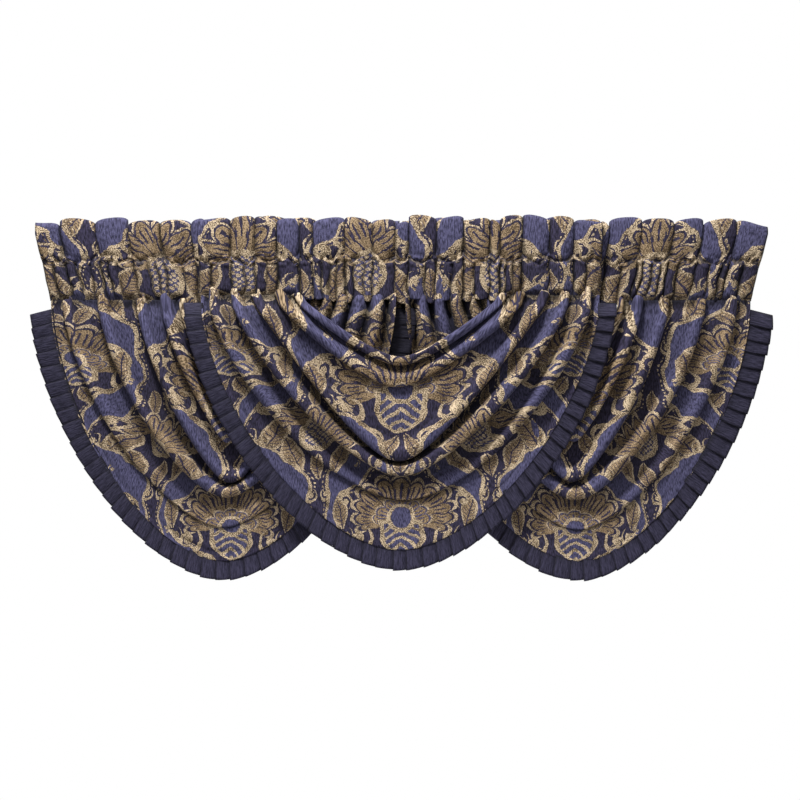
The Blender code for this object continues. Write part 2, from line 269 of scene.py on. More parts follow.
def uneven(angle, place, valance):
    """A slow, shallow wander of the cloth, forward, that differs between the valances."""
    slow = SWAY[0] * np.sin(SWAY[1] * angle + SWAY[2] * place + valance.middle * SWAY[3])
    return slow + SHIVER[0] * np.sin(SHIVER[1] * angle + SHIVER[2] * place)


def varied(valance, angle, ridge, amount):
    """A factor about 1 that wanders along each ridge and differs between them."""
    return 1.0 + amount * rough(valance, RIDGES, angle, ridge)


def fold_place(valance, angle, place):
    """The ridge above, the share of the way to the next, and in metres: that way, the slope up to the next
    ridge, and how far down the cloth lies."""
    folds = valance.folds
    fold = np.minimum(np.floor(place), len(folds) - 2)
    share = place - fold
    near = hang(valance, folds, angle, fold)
    far = hang(valance, folds, angle, fold + 1)
    apart = np.maximum(np.hypot(far[0] - near[0], far[1] - near[1]), RIDGE_GAP)
    full = FALL_LEAST + (1.0 - FALL_LEAST) * smooth(relief(folds, angle, fold) / FALL_RELIEF)
    fall = np.minimum(FALL * full, FALL_MOST * apart)
    rise = RISE_SEAM + (RISE_MIDDLE - RISE_SEAM) * abs(np.sin(angle))
    rise = np.minimum(rise * varied(valance, angle, fold + 1.0, RISE_VARIES), RISE_MOST * apart)
    down = wave(share, "fall") * fall + wave(share, "rise") * rise + wave(share, "whole") * apart
    return fold, share, apart, rise, down


def fold_height(valance, angle, fold, share, x):
    """How far forward the cloth stands between two ridges: more than the model's, but softly limited."""
    height = 0.0
    for field, ridge in (("own", fold), ("following", fold + 1.0)):
        ridge_height = relief(valance.folds, angle, ridge) * varied(valance, angle, ridge, RELIEF_VARIES)
        height = height + wave(share, field) * ridge_height
    shown = smooth((abs(x) - HIDDEN_WIDTH[0]) / HIDDEN_WIDTH[1]) if is_side(valance) else 1.0
    height = height * (1.0 + RELIEF_MORE * shown)
    over = np.maximum(height - HEIGHT_LIMIT, 0.0)
    return height - over + SOFT_LIMIT * (1.0 - np.exp(-over / SOFT_LIMIT))


def swag_point(valance, angle, place, back=0.0, gathered=True):
    """A point of the swag: place counts folds from the neckline (0) to the hem; back sets it behind."""
    fold, share, apart, _, down = fold_place(valance, angle, place)
    x, drop = hang(valance, valance.folds, angle, fold + down / apart)
    drop = drop + SEAM_LEAD * ((angle > 0.0) & (angle < pi))
    height = fold_height(valance, angle, fold, share, x)
    rise = 0.0
    if gathered:
        flat = np.clip(1.0 - (drop - SEAM_LEAD) / PUFF_LENGTH, 0.0, 1.0)
        full = varied(valance, angle, fold, PUFF_VARIES) * np.clip(height / PUFF_FULL, 0.0, 1.0)
        rise = PUFF_RISE * full * np.sin(pi * np.sqrt(1.0 - flat)) ** 2
        height = height * np.sqrt(1.0 - flat**2)
    lean = (valance.lean + uneven(angle, place, valance)) * smooth(drop / LEAN_LENGTH)
    inner = smooth(1.0 - abs(x) / SKEW_WIDTH) * smooth(drop / SKEW_LENGTH)
    y = valance.layer - height - lean + back + valance.skew * inner
    return x, y, -valance.seam - SEAM_GAP - drop + rise


def shelter(valance, angle, place):
    """How light the swag is, from 1 down: cloth deep between two ridges lies in their shade."""
    fold, share, apart, rise, down = fold_place(valance, angle, place)
    light = 1.0
    for ridge, away, shade in (
        (fold, down - FALL, SHADE_ABOVE), (fold + 1.0, apart - rise - down, SHADE_BELOW),
    ):
        high = (SHADE_REACH * relief(valance.folds, angle, ridge)) ** 2 + TINY
        light = light - shade * high / (high + np.maximum(away, 0.0) ** 2)
    height = np.clip(wave(share, "own") + wave(share, "following"), 0.0, 1.0)
    return light + (1.0 - light) * height


# ---------------------------------------------------------------- meshes
def put(name, data, place=(0.0, 0.0, 0.0), turn=(0.0, 0.0, 0.0)):
    """A new object in the scene."""
    thing = bpy.data.objects.new(name, data)
    thing.location = place
    thing.rotation_euler = turn
    bpy.context.scene.collection.objects.link(thing)
    return thing


def mesh_of(name, make, **settings):
    """A mesh made by a bmesh operator."""
    shape = bmesh.new()
    make(shape, **settings)
    mesh = bpy.data.meshes.new(name)
    shape.to_mesh(mesh)
    shape.free()
    return mesh


def grid(name, points, cloth, light, materials):
    """A sheet through points, an array (rows, columns, 3), with cloth coordinates and light as UV maps."""
    rows, columns = points.shape[:2]
    mesh = mesh_of(name, bmesh.ops.create_grid, x_segments=columns - 1, y_segments=rows - 1, size=0.5)
    flat = np.empty(len(mesh.vertices) * 3)
    mesh.vertices.foreach_get("co", flat)
    flat = flat.reshape(-1, 3)
    up = np.rint((flat[:, 1] + 0.5) * (rows - 1)).astype(int)
    right = np.rint((flat[:, 0] + 0.5) * (columns - 1)).astype(int)
    mesh.vertices.foreach_set("co", points[up, right].ravel())
    corners = np.empty(len(mesh.loops), int)
    mesh.loops.foreach_get("vertex_index", corners)
    for layer in list(mesh.uv_layers):
        mesh.uv_layers.remove(layer)
    light = np.stack(np.broadcast_arrays(light, np.zeros((rows, columns))), axis=-1)
    for layer, values in (("cloth", cloth), ("light", light)):
        mesh.uv_layers.new(name=layer).uv.foreach_set("vector", values[up, right][corners].ravel())
    for material in materials:
        mesh.materials.append(material)
    mesh.shade_smooth()
    thing = put(name, mesh)
    solid = thing.modifiers.new("cloth", "SOLIDIFY")
    solid.thickness = CLOTH
    solid.offset = 0.0
    solid.material_offset = len(materials) - 1
    solid.use_quality_normals = True
    return thing


def lengths(points, axis):
    """Running length along an axis of an array of points, from 0."""
    steps = np.linalg.norm(np.diff(points, axis=axis), axis=-1)
    start = np.zeros_like(np.take(steps, [0], axis=axis))
    return np.concatenate((start, np.cumsum(steps, axis=axis)), axis=axis)


def facing_viewer(*arrays):
    """The arrays with columns from left to right and rows from the bottom up, so that the front faces out."""
    return [array[::-1, ::-1] for array in arrays]


# ---------------------------------------------------------------- swags
SWAG_COLUMNS = 261
SWAG_ROWS = 27  # rows from one fold to the next
END_CROWD = 0.105  # how far the columns crowd towards the seam
TAKE_UP = 0.55  # share of the cloth taken up by the folds that moves the pattern on
TUCKED = (0.000, 0.000, 0.045, 0.125, 0.205, 0.225)  # more cloth, tucked away down to each ridge
TUCKED_ROWS = (0.25, 0.35)  # where in a fold it goes in
TAKE_UP_PLACE = 1.5  # the fold, counted from the neckline, where the pattern is not moved
TAKE_UP_CLEAR = 0.20  # distance from a swag's middle over which it starts to move sideways
MOTIF_PLACE = 4.5  # the fold where a motif lies in the middle
FAN = 0.55  # how much the pattern's upright lines fan out with height, per metre
FAN_LEVEL = -0.52  # height where they do not
FACING_GAP = 0.013  # between the neckline and its facing
FACING_PLACES = (0.3, 0.03)  # its free edge and the roll's start, as shares of the way to the next fold
FACING_ROWS = 7
FACING_LIGHT = 0.45
ROLL_ROWS = 7  # rows round the turned edge of the neckline
ROLL_LENGTH = 0.012  # drop over which that swells
CREASE_START = 0.08  # drop over which creases come in
CREASE_DEPTH = 0.0024  # of the long creases that run with the folds
CREASE_SHARP = (0.7, 2.4)  # the sharp ones' share of that, and how narrow they are
SWELL_SHARE = 1.1  # the broad ones' share
DIMPLE_DEPTH = 0.0012  # of the shorter ones across them
GATHER = 0.011  # spacing of the small gathers along a shoulder seam
GATHER_STRAY = 0.004  # how far they stray sideways
GATHER_DEPTH = 0.0026
GATHER_START = 0.003  # drop over which they come in
GATHER_LENGTH = 0.060  # drop where they have died away
GATHER_POWER = 1.5  # how soon they do
PIPE_WIDTH = (0.036, 0.049)  # least and greatest spacing of the gathers behind the centre's neckline
PIPE_COUNT = 16  # more than are seen
PIPE_SEED = 60
PIPE_GAP = 1.26  # their spacing over their own width
PIPE_SQUARE = 2.0  # how boxy they are across
PIPE_DEPTH = 0.042
PIPE_FULL = (0.75, 1.0)  # least and greatest share of that
PIPE_SPREAD = 2.4  # how they spread on their way down, per metre
PIPE_TUCK = 0.018  # cloth hidden between two of them
PIPE_START = 0.020  # drop over which they swell
PIPE_RISE = 0.026  # how far their tops rise over the seam
PIPE_PLAIN = 0.85  # share of all other relief that they take away
PIPE_SHADE = 0.88  # how much darker the cloth is between them
PIPE_END = 0.26  # drop where they have died away
PIPE_REACH = (0.195, 0.238)  # how far from the set's middle they start to, and have
TUCK_REACH = (0.26, 0.34)  # the same of the cloth between them
TUCK_END = (0.24, 0.32)  # and of that, in drop


def fan(valance, x, z):
    """Cloth coordinates of a front view's x and z: square at the swag's middle, fanned out to its sides."""
    x = x - valance.middle
    z = z - FAN_LEVEL
    u = x * (1.0 - FAN * z)
    v = FAN_LEVEL + z + FAN * (x * x - z * z) / 2.0
    return np.stack((u - valance.motif[0], v - valance.motif[1]), axis=-1)


def swag_cloth(valance, angle, place):
    """Cloth coordinates of the swag's front: its front view, moved on by what the folds take up."""
    points = np.stack(swag_point(valance, angle, place, gathered=False), axis=-1)
    hidden = lengths(points, 0) - lengths(points[..., (0, 2)], 0)
    anchor = round(TAKE_UP_PLACE * SWAG_ROWS)
    turned = np.minimum(np.floor(place), len(valance.folds) - 2)
    share = (place - turned - TUCKED_ROWS[0]) / (TUCKED_ROWS[1] - TUCKED_ROWS[0])
    hidden = TAKE_UP * hidden + np.interp(turned + smooth(share), np.arange(len(TUCKED)), TUCKED)
    moved = hidden[anchor] - hidden
    x_low, drop_low = hang(valance, valance.folds, angle, np.minimum(place + 0.5, len(valance.folds) - 1.0))
    x_high, drop_high = hang(valance, valance.folds, angle, np.maximum(place - 0.5, 0.0))
    inward = np.stack((x_high - x_low, drop_low - drop_high), axis=-1)
    inward /= np.maximum(np.linalg.norm(inward, axis=-1, keepdims=True), TINY)
    inward[..., 0] *= smooth(abs(points[..., 0] - valance.middle) / TAKE_UP_CLEAR)
    shift = moved[..., None] * inward
    shift -= shift[round(MOTIF_PLACE * SWAG_ROWS), SWAG_COLUMNS // 2]
    return fan(valance, points[..., 0], points[..., 2]) + shift, inward


def pipes(valance, points):
    """The side swags' gathers behind the centre's neckline: how far they stand forward, how far up their tops
    rise, where they are, how light the cloth is there, and how far the pattern moves on."""
    random = np.random.default_rng(valance.seed + PIPE_SEED)
    edges = np.cumsum(random.uniform(*PIPE_WIDTH, PIPE_COUNT + 1)) - PIPE_WIDTH[1]
    drop = -valance.seam - points[..., 2]
    away = abs(points[..., 0])
    _, count, share = bulges(edges, np.minimum(away / (1.0 + PIPE_SPREAD * drop), edges[-1]), PIPE_SQUARE)
    across = np.minimum(PIPE_GAP * abs(2.0 * share - 1.0), 1.0)
    pipe = (1.0 - across**PIPE_SQUARE) ** (1.0 / PIPE_SQUARE)
    high = pipe * random.uniform(*PIPE_FULL, PIPE_COUNT)[count]
    swollen = np.clip(drop / PIPE_START, 0.0, 1.0)
    inner = fade(away, *PIPE_REACH) * fade(drop, 0.0, PIPE_END)
    level = valance.layer - valance.lean * smooth(drop / LEAN_LENGTH)
    level = level + valance.skew * smooth(1.0 - away / SKEW_WIDTH) * smooth(drop / SKEW_LENGTH)
    forward = PIPE_PLAIN * (points[..., 1] - level) + PIPE_DEPTH * high * np.sqrt(swollen * (2.0 - swollen))
    rise = PIPE_RISE * high * np.sin(pi * swollen) ** 2
    moved = PIPE_TUCK * count * fade(away, *TUCK_REACH) * fade(drop, *TUCK_END)
    return forward * inner, rise * inner, inner, 1.0 - PIPE_SHADE * (1.0 - pipe**2), moved


def creases(valance, place, points):
    """How far forward the cloth is creased: with the folds, across them, and in gathers at the seam."""
    drop = -valance.seam - points[..., 2]
    along = lengths(points, 1)
    along = along - along[:, [along.shape[1] // 2]]
    away = smooth(drop / CREASE_START)
    sharp = 1.0 - abs(rough(valance, CREASES, along, place)) * CREASE_SHARP[1]
    swell = rough(valance, SWELLS, along, place)
    depth = CREASE_DEPTH * (CREASE_SHARP[0] * sharp + SWELL_SHARE * swell) * away
    depth = depth + DIMPLE_DEPTH * rough(valance, DIMPLES, along, place) * away
    x = points[..., 0] + GATHER_STRAY * rough(valance, GATHERS, points[..., 0], place)
    gathers = np.sin(x * 2.0 * pi / GATHER) * GATHER_DEPTH
    left = np.clip(1.0 - drop / GATHER_LENGTH, 0.0, 1.0) ** GATHER_POWER
    return depth + gathers * (np.clip(drop / GATHER_START, 0.0, 1.0) * left)


def facing_rows(valance, angle):
    """The neckline's roll and the facing behind it, from the facing's free edge to the front."""
    radius = FACING_GAP / 2.0
    edge = np.stack(swag_point(valance, angle, 0.0), axis=-1)
    rows = []
    for place in np.linspace(*FACING_PLACES, FACING_ROWS):
        rows.append(np.stack(swag_point(valance, angle, place, back=FACING_GAP), axis=-1))
    swollen = smooth((-valance.seam - edge[:, 2]) / ROLL_LENGTH)
    for turn in np.linspace(pi, 0.0, ROLL_ROWS + 1)[:-1]:
        point = edge.copy()
        point[:, 1] += radius * (1.0 - np.cos(turn))
        point[:, 2] += radius * np.sin(turn) * swollen
        rows.append(point)
    return np.array(rows)


def make_swag(valance, materials):
    share = np.linspace(0.0, 1.0, SWAG_COLUMNS)
    angle = pi * (share - END_CROWD * np.sin(2.0 * pi * share))[None, :]
    last = len(valance.folds) - 1
    place = np.linspace(0.0, last, last * SWAG_ROWS + 1)[:, None]
    even = np.stack(np.broadcast_arrays(*swag_point(valance, angle, place)), axis=-1)
    points = even.copy()
    points[..., 1] -= creases(valance, place, even)
    cloth, inward = swag_cloth(valance, angle, place)
    light = shelter(valance, angle, place)
    if is_side(valance):
        forward, rise, inner, pipe_light, moved = pipes(valance, points)
        points[..., 1] -= forward
        points[..., 2] += rise
        cloth += np.stack((moved, rise), axis=-1)
        light = light + (pipe_light - light) * inner
    hollow = 1.0 - np.clip((valance.layer - points[..., 1]) / SEAM_HOLLOW, 0.0, 1.0)
    beside = smooth(1.0 + (valance.seam + even[..., 2]) / SEAM_SHADE_LENGTH)
    light = light * (1.0 - SEAM_SHADE * hollow * beside)
    behind = facing_rows(valance, angle[0])
    behind[..., 1] += points[0, :, 1] - even[0, :, 1]
    turned = lengths(np.concatenate((behind, points[:1])), 0)
    back = (turned[-1] - turned[:-1])[..., None] * inward[0]
    front = smooth((np.arange(len(behind)) - FACING_ROWS + 1.0) / ROLL_ROWS)[:, None]
    light = np.concatenate((FACING_LIGHT + (light[:1] - FACING_LIGHT) * front, light))
    points = np.concatenate((behind, points))
    cloth = np.concatenate((cloth[0] + back, cloth))
    return grid(f"swag_{valance.name}_cloth", *facing_viewer(points, cloth, light), materials)


# ---------------------------------------------------------------- headings
HEADING_STEP = 0.0028  # spacing of a heading's columns
GROOVE_STEPS = (-0.0018, -0.0008, 0.0, 0.0008, 0.0018)  # more columns beside each groove, for its sharp turn
GROOVE_IN = 0.0125  # how far the cloth draws in between two puffed panels
GROOVE_DEEPER = (0.75, 0.5)  # share of that at the top, and how much more at the stitching
GROOVE_BACK = 0.15  # share of it in the back wall
GROOVE_DIP = 0.013  # how far the top edge dips there
PANEL_LIFT = (-0.0085, 0.0030)  # least and greatest rise of a panel's top
PANEL_TILT = (-0.0070, 0.0070)  # the same of its one end
PANEL_FULL = (0.86, 1.0)  # least and greatest share of its depth
PANEL_SAG = (0.003, 0.015)  # least and greatest sag of the stitching under it
SAG_LEVEL = 0.6  # how high in its arch that is on the stitch line
PANEL_SQUARE = (2.4, 1.3)  # how boxy it is across, at the top and where it is pinched
PANEL_ROUGH = 0.0008
NARROW_PANEL = 0.04  # panels narrower than this stand lower
NARROW_LOW = 0.007
END_LOW = 0.010  # how much lower the top is at a heading's ends
END_LENGTH = 0.06
TUCK = 0.045  # cloth hidden between two panels
HEADING_UP = 0.205  # where in the damask a heading is cut
HEADING_ALONG = 0.137  # and how much further along for each step of its seed
YOKE_TUCK = 0.020  # cloth hidden between two of the yoke's gathers
YOKE_FOLDS = (0.018, 0.048)  # least and greatest width of those
YOKE_SHARES = (0.6, 1.4)  # and how much they differ within a panel
YOKE_SQUARE = 2.0  # how boxy they are across
YOKE_FULL = (0.35, 1.0)  # least and greatest fullness
YOKE_HEIGHT = (0.45, 0.55)  # share of their depth without it, and what it adds
YOKE_DEPTH = 0.0170  # from their valleys to their tops
YOKE_BACK = 0.0060  # how much of that lies behind the yoke's plane
YOKE_ROUGH = 0.0012
YOKE_LOW = 0.0050  # how far the yoke's bottom hangs below the seam where nothing is sewn to it
YOKE_DROP = 0.0200  # how much further its longest gathers do
YOKE_SWAY = 0.0080  # how far their valleys stray from upright
FREE_WIDTH = (0.006, 0.012)  # how far past the first fold it is sewn, and over how much it comes free
PUCKER = 0.0130  # spacing of the small puckers along the stitching
PUCKER_STRAY = 0.006  # how far they stray sideways
PUCKER_DEPTH = 0.0030
PUCKER_BEHIND = 0.3  # share of that in the back wall
KNOT_DEPTH = 0.0120  # of the knots of cloth round the stitching
STITCH_STRAY = 0.0095  # how far the stitching wanders up and down
INNER_DROP = 0.022  # how far side headings reach down over their trims, at the middle of the set
INNER_BACK = 0.004  # and how far back
INNER_WIDTH = (0.045, 0.020)  # how far from it they start to, and over how much
HEADING_LIGHT = 0.91  # how light a heading is at its lightest
YOKE_SHADE = 0.13  # how much darker its yoke is
HEADING_SHADE = 0.82  # how dark its deepest shade is
GROOVE_DARK = (0.0018, 0.0045)  # least and greatest width of the shade between two panels
GROOVE_WIDENS = 1.8  # how much wider it is at the stitching
YOKE_DARK = (0.0025, 0.0060)  # least and greatest width of the shade between two gathers
VALLEY_LEAST = 0.5  # how dark the lightest of these is, against the darkest
VALLEY_REACH = 1.5  # where they end, in widths
PUCKER_DARK = (0.4, -1.2)  # how much puckers and knots darken the stitching with painted shade
KNOT_DARK = (-0.3, -2.2)  # from where knots darken the cloth round it with painted shade, and how much

# Where in a heading's section (Section.down) these start, and over how much.
EDGE_END = (0.50, -0.50)  # the top edge's unevenness, upwards
PINCH = (0.40, 0.60)  # the panels' narrowing
POCKET_END = (1.02, -0.12)  # the pocket, upwards
YOKE_START = (1.00, 0.14)
FREE_START = (1.50, 0.50)  # what hangs free
SEAM_START = (1.78, 0.22)  # the shade beside the seam
SEWN_START = (1.82, 0.20)  # what is sewn flat
STITCHED = (1.00, 0.055)  # middle and reach of the puckers
KNOTTED = (1.03, 0.14)  # and of the knots
FRONT_WALL = -0.15  # Section.forward of what is more than this is the front

# A heading's cross-section, from the bottom of the yoke up its front, over the top and down the pocket's
# back: how far down from the top edge to the stitching (0 to 1), and past it to the seam (1 to 2), and how
# far forward, as a share of the pocket's front (positive) or back (negative) depth. rows is its fineness.
Section = namedtuple("Section", "down forward rows")
SECTIONS = (
    Section(2.03, -0.10, 14),
    Section(1.50, 0.06, 12),
    Section(1.07, 0.00, 5),
    Section(1.00, 0.10, 5),
    Section(0.94, 0.44, 5),
    Section(0.84, 0.82, 5),
    Section(0.70, 1.00, 6),
    Section(0.40, 1.00, 6),
    Section(0.16, 0.96, 5),
    Section(0.05, 0.78, 5),
    Section(0.00, 0.30, 4),
    Section(0.00, -0.30, 4),
    Section(0.05, -0.86, 3),
    Section(0.16, -1.00, 3),
    Section(0.50, -1.00, 3),
    Section(0.84, -0.90, 3),
    Section(0.97, -0.35, 3),
    Section(1.00, -0.22, 2),
    Section(1.12, -0.28, 0),
)


def heading_profile():
    """down and forward of each row of a heading, on a smooth line through SECTIONS."""
    at = []
    for count, section in enumerate(SECTIONS):
        at += [count + row / max(section.rows, 1) for row in range(max(section.rows, 1))]
    steps = np.arange(len(SECTIONS))
    down = curve(np.array(at), steps, [section.down for section in SECTIONS])
    forward = curve(np.array(at), steps, [section.forward for section in SECTIONS])
    return down[:, None], forward[:, None]


def bulges(edges, at, square):
    """For positions at between edges: 0 at an edge and 1 across the middle, which span each is in, and its
    share of the way across."""
    span = np.clip(np.searchsorted(edges, at, side="right") - 1, 0, len(edges) - 2)
    share = (at - edges[span]) / (edges[span + 1] - edges[span])
    return (1.0 - abs(2.0 * share - 1.0) ** square) ** (1.0 / square), span, share


def valleys(edges, at, random, widths, wider=1.0):
    """Up to 1 in the valleys at the edges, 0 away from them; widths are the least and the greatest."""
    wide = random.uniform(*widths, len(edges)) * np.asarray(wider)[..., None]
    deep = random.uniform(VALLEY_LEAST, 1.0, len(edges))
    return (deep * smooth(VALLEY_REACH - abs(at[..., None] - edges) / wide)).max(axis=-1)


def gather_edges(panels, random):
    """Valleys of the yoke's gathers: at every panel's edge, and at uneven spacings between."""
    edges = [0.0]
    for start, stop in zip(panels[:-1], panels[1:]):
        count = max(1, round((stop - start) / random.uniform(*YOKE_FOLDS)))
        shares = np.cumsum(random.uniform(*YOKE_SHARES, count))
        edges += list(start + (stop - start) * shares / shares[-1])
    return np.array(edges)


def hump(value, middle, width):
    """1 at the middle, falling away to both sides over the width."""
    return np.exp(-(((value - middle) / width) ** 2))


def heading_columns(valance):
    """Edges of a heading's panels and places of its columns, from its left end."""
    width = valance.top[1] - valance.top[0]
    panels = np.concatenate(([0.0], np.cumsum(valance.panels))) * width / sum(valance.panels)
    at = np.linspace(0.0, width, round(width / HEADING_STEP) + 1)
    beside = np.concatenate([panels[1:-1] + step for step in GROOVE_STEPS])
    return width, panels, np.unique(np.round(np.concatenate((at, beside)), 5))


def lay_heading(valance, random):
    """A heading's rows and columns, and where they lie among its panels, its gathers and its seams."""
    head = SimpleNamespace()
    width, panels, at = heading_columns(valance)
    down, forward = heading_profile()
    head.at, head.down, head.forward, head.panels = at, down, forward, panels
    head.pinched = ramp(down, *PINCH)
    square = PANEL_SQUARE[0] + (PANEL_SQUARE[1] - PANEL_SQUARE[0]) * head.pinched
    puff, panel, head.share = bulges(panels, at, square)
    puff = np.where(np.minimum(at, width - at) < 0.5 * min(panels[1], width - panels[-2]), 1.0, puff)
    head.panel, head.groove = panel, 1.0 - puff
    lift = random.uniform(*PANEL_LIFT, len(panels) - 1) - NARROW_LOW * (np.diff(panels) < NARROW_PANEL)
    head.lift = lift[panel]
    for from_end in (at, width - at):
        head.lift = head.lift - END_LOW * hump(from_end, 0.0, END_LENGTH)
    head.tilt = random.uniform(*PANEL_TILT, len(panels) - 1)[panel] * (head.share - 0.5) * 2.0
    head.fullness = random.uniform(*PANEL_FULL, len(panels) - 1)[panel]
    head.gathers = gather_edges(panels, random)
    head.pocket = ramp(down, *POCKET_END)
    head.yoke = ramp(down, *YOKE_START)
    head.swayed = np.clip(at + YOKE_SWAY * head.yoke * rough(valance, YOKE_VALLEYS, at, down), 0.0, width)
    fold, head.count, _ = bulges(head.gathers, head.swayed, YOKE_SQUARE)
    full = random.uniform(*YOKE_FULL, len(head.gathers))[head.count]
    head.long = random.uniform(0.0, 1.0, len(head.gathers))[head.count]
    head.fold = fold * (YOKE_HEIGHT[0] + YOKE_HEIGHT[1] * full)
    head.sag = random.uniform(*PANEL_SAG, len(panels) - 1)[panel]
    head.stitched = hump(down, *STITCHED)
    head.knotted = hump(down, *KNOTTED) * (forward > FRONT_WALL)
    head.pucker = np.sin(2.0 * pi * (at + PUCKER_STRAY * rough(valance, PUCKERS, at, 0.0)) / PUCKER)
    head.knots = rough(valance, KNOTS, at, down)
    head.low = valance.low[0] + (valance.low[1] - valance.low[0]) * at / width
    past = valance.folds[0].half_width + FREE_WIDTH[0] - abs(head.low - valance.middle)
    head.free = smooth(past / FREE_WIDTH[1])
    return head


def heading_depth(valance, head):
    """How far behind its layer's plane each point of a heading lies."""
    at, down, forward, groove = head.at, head.down, head.forward, head.groove
    deeper = GROOVE_DEEPER[0] + GROOVE_DEEPER[1] * smooth(down)
    front = POCKET_FRONT * head.fullness - GROOVE_IN * groove * deeper
    y = -forward * np.where(forward > 0.0, front, POCKET_BACK - GROOVE_BACK * GROOVE_IN * groove)
    y = y - PANEL_ROUGH * rough(valance, PANELS, at, down) * head.pocket
    sewn = 1.0 - (1.0 - head.free) * ramp(down, *SEWN_START)
    y = y - head.yoke * sewn * (YOKE_DEPTH * head.fold - YOKE_BACK)
    y = y - head.stitched * PUCKER_DEPTH * head.pucker * np.where(forward > FRONT_WALL, 1.0, PUCKER_BEHIND)
    y = y - head.knotted * KNOT_DEPTH * head.knots
    return y - head.yoke * YOKE_ROUGH * rough(valance, YOKE, at, down)


def heading_height(valance, head):
    """z of each point of a heading."""
    down = head.down
    arch = 1.0 - (2.0 * head.share - 1.0) ** 2
    stitch = STITCH_LINE + STITCH_STRAY * rough(valance, STITCHES, head.at, 1.0)
    stitch = stitch + head.sag * (arch - SAG_LEVEL)
    top = (GROOVE_DIP * head.groove - head.lift - head.tilt) * ramp(down, *EDGE_END)
    hanging = (YOKE_DROP * head.fold * head.long + YOKE_LOW) * head.free * ramp(down, *FREE_START)
    level = np.where(down < 1.0, down * stitch, stitch + (down - 1.0) * (valance.seam - stitch))
    return -level - top - hanging


def heading_points(valance, head):
    y = heading_depth(valance, head)
    z = heading_height(valance, head)
    slant_from = -STITCH_LINE * SLANT_START
    slant = np.clip((z - slant_from) / (-valance.seam - slant_from), 0.0, 1.0)
    x = valance.top[0] + head.at + (head.low - valance.top[0] - head.at) * slant
    if is_side(valance):
        inner = smooth((INNER_WIDTH[0] - abs(x)) / INNER_WIDTH[1]) * ramp(head.down, *FREE_START)
        z = z - INNER_DROP * inner
        y = y + INNER_BACK * inner
    return np.stack(np.broadcast_arrays(x, valance.layer + y, z), axis=-1)


def heading_cloth(valance, head, points):
    """Cloth coordinates of a heading: what is hidden in each groove and gather moves the pattern on."""
    length = lengths(points, 0).mean(axis=1, keepdims=True)
    first = np.searchsorted(head.gathers, head.panels[:-1] + RIDGE_GAP, side="right") - 1
    spans = np.diff(np.append(first, len(head.gathers) - 1))[head.panel]
    extra = np.clip(head.count - first[head.panel], 0, spans) - (spans - 1) / 2.0
    u = head.at + TUCK * head.panel + YOKE_TUCK * extra * head.yoke + valance.seed * HEADING_ALONG
    return np.stack(np.broadcast_arrays(u, length + HEADING_UP), axis=-1)


def heading_light(head, random):
    """How light a heading is: dark in its grooves and valleys, round its stitching and beside its seam."""
    groove = valleys(head.panels, head.at, random, GROOVE_DARK, 1.0 + GROOVE_WIDENS * head.pinched)
    valley = valleys(head.gathers, head.swayed, random, YOKE_DARK)
    puckers = head.stitched * smooth(PUCKER_DARK[0] * head.pucker + PUCKER_DARK[1] * head.knots)
    knots = head.knotted * smooth(KNOT_DARK[0] + KNOT_DARK[1] * head.knots)
    seam = SEAM_SHADE * (1.0 - head.free) * ramp(head.down, *SEAM_START)
    shades = np.broadcast_arrays(groove * head.pocket, valley * head.yoke, puckers, knots, seam)
    dark = np.max(shades, axis=0)
    return HEADING_LIGHT * (1.0 - YOKE_SHADE * head.yoke) * (1.0 - HEADING_SHADE * dark)


def make_heading(valance, materials):
    random = np.random.default_rng(valance.seed)
    head = lay_heading(valance, random)
    points = heading_points(valance, head)
    cloth = heading_cloth(valance, head, points)
    return grid(f"heading_{valance.name}_cloth", points, cloth, heading_light(head, random), materials)


# ---------------------------------------------------------------- trims
TRIM_TUCK = 0.006  # of the trim, behind the hem
TRIM_BEHIND = 0.0016  # how far behind the swag that lies
TRIM_OVER = 0.2  # share of its width over which it comes forward
TRIM_ROWS = 9
TRIM_SAMPLES = 700  # along the hem, to measure it by
TRIM_SEED = 40
TRIM_ROUGH = 0.0010
TRIM_SHADE = 0.86  # how much darker the trim is beside each pleat's edge, and along the swag
TRIM_DARK_WIDTH = 0.13  # reach of the first, in pleats
TRIM_DARK_POWER = 6  # how soon the second ends
SIDE_SHADE = 0.26  # how much darker a trim is at a swag's sides than at its bottom
SIDE_BACK = 0.012  # and how much further back its edge is there
END_SLANT = 0.017  # how far the corners at the two ends of the set droop
END_REACH = 0.09  # length over which they do
MIDDLE_SHADE = 0.60  # how much darker the side trims are where they meet behind the centre
MIDDLE_FLAT = 0.75  # and how much flatter
MIDDLE_REACH = (0.050, 0.090)  # from the middle of the set, where that starts to die away, and has
PLEAT_STEP = 0.0022  # how far one side of a pleat's outer edge stands out from the other
PLEAT_LEVEL = 0.55  # where in a pleat it is level with the hem
PLEAT_RAGGED = 0.0012  # how far a whole pleat's outer edge strays
PLEAT_STRAY = 0.10  # how far an edge strays along the hem, in pleats
PLEAT_FULL = (0.8, 1.2)  # least and greatest fullness
PLEAT_OPENS = (0.25, 0.75, 1.6)  # how deep pleats are at the hem, how much more outside, and how soon

# A knife pleat's section: place along the hem, in pleats, and how far forward.
Pleat = namedtuple("Pleat", "along forward")
PLEAT_LINE = (
    Pleat(0.00, -0.0028),
    Pleat(0.12, -0.0016),
    Pleat(0.35, 0.0002),
    Pleat(0.60, 0.0018),
    Pleat(0.85, 0.0030),
    Pleat(0.98, 0.0034),
    Pleat(1.05, 0.0028),
    Pleat(1.06, 0.0010),
    Pleat(1.00, -0.0006),
    Pleat(0.95, -0.0020),
)


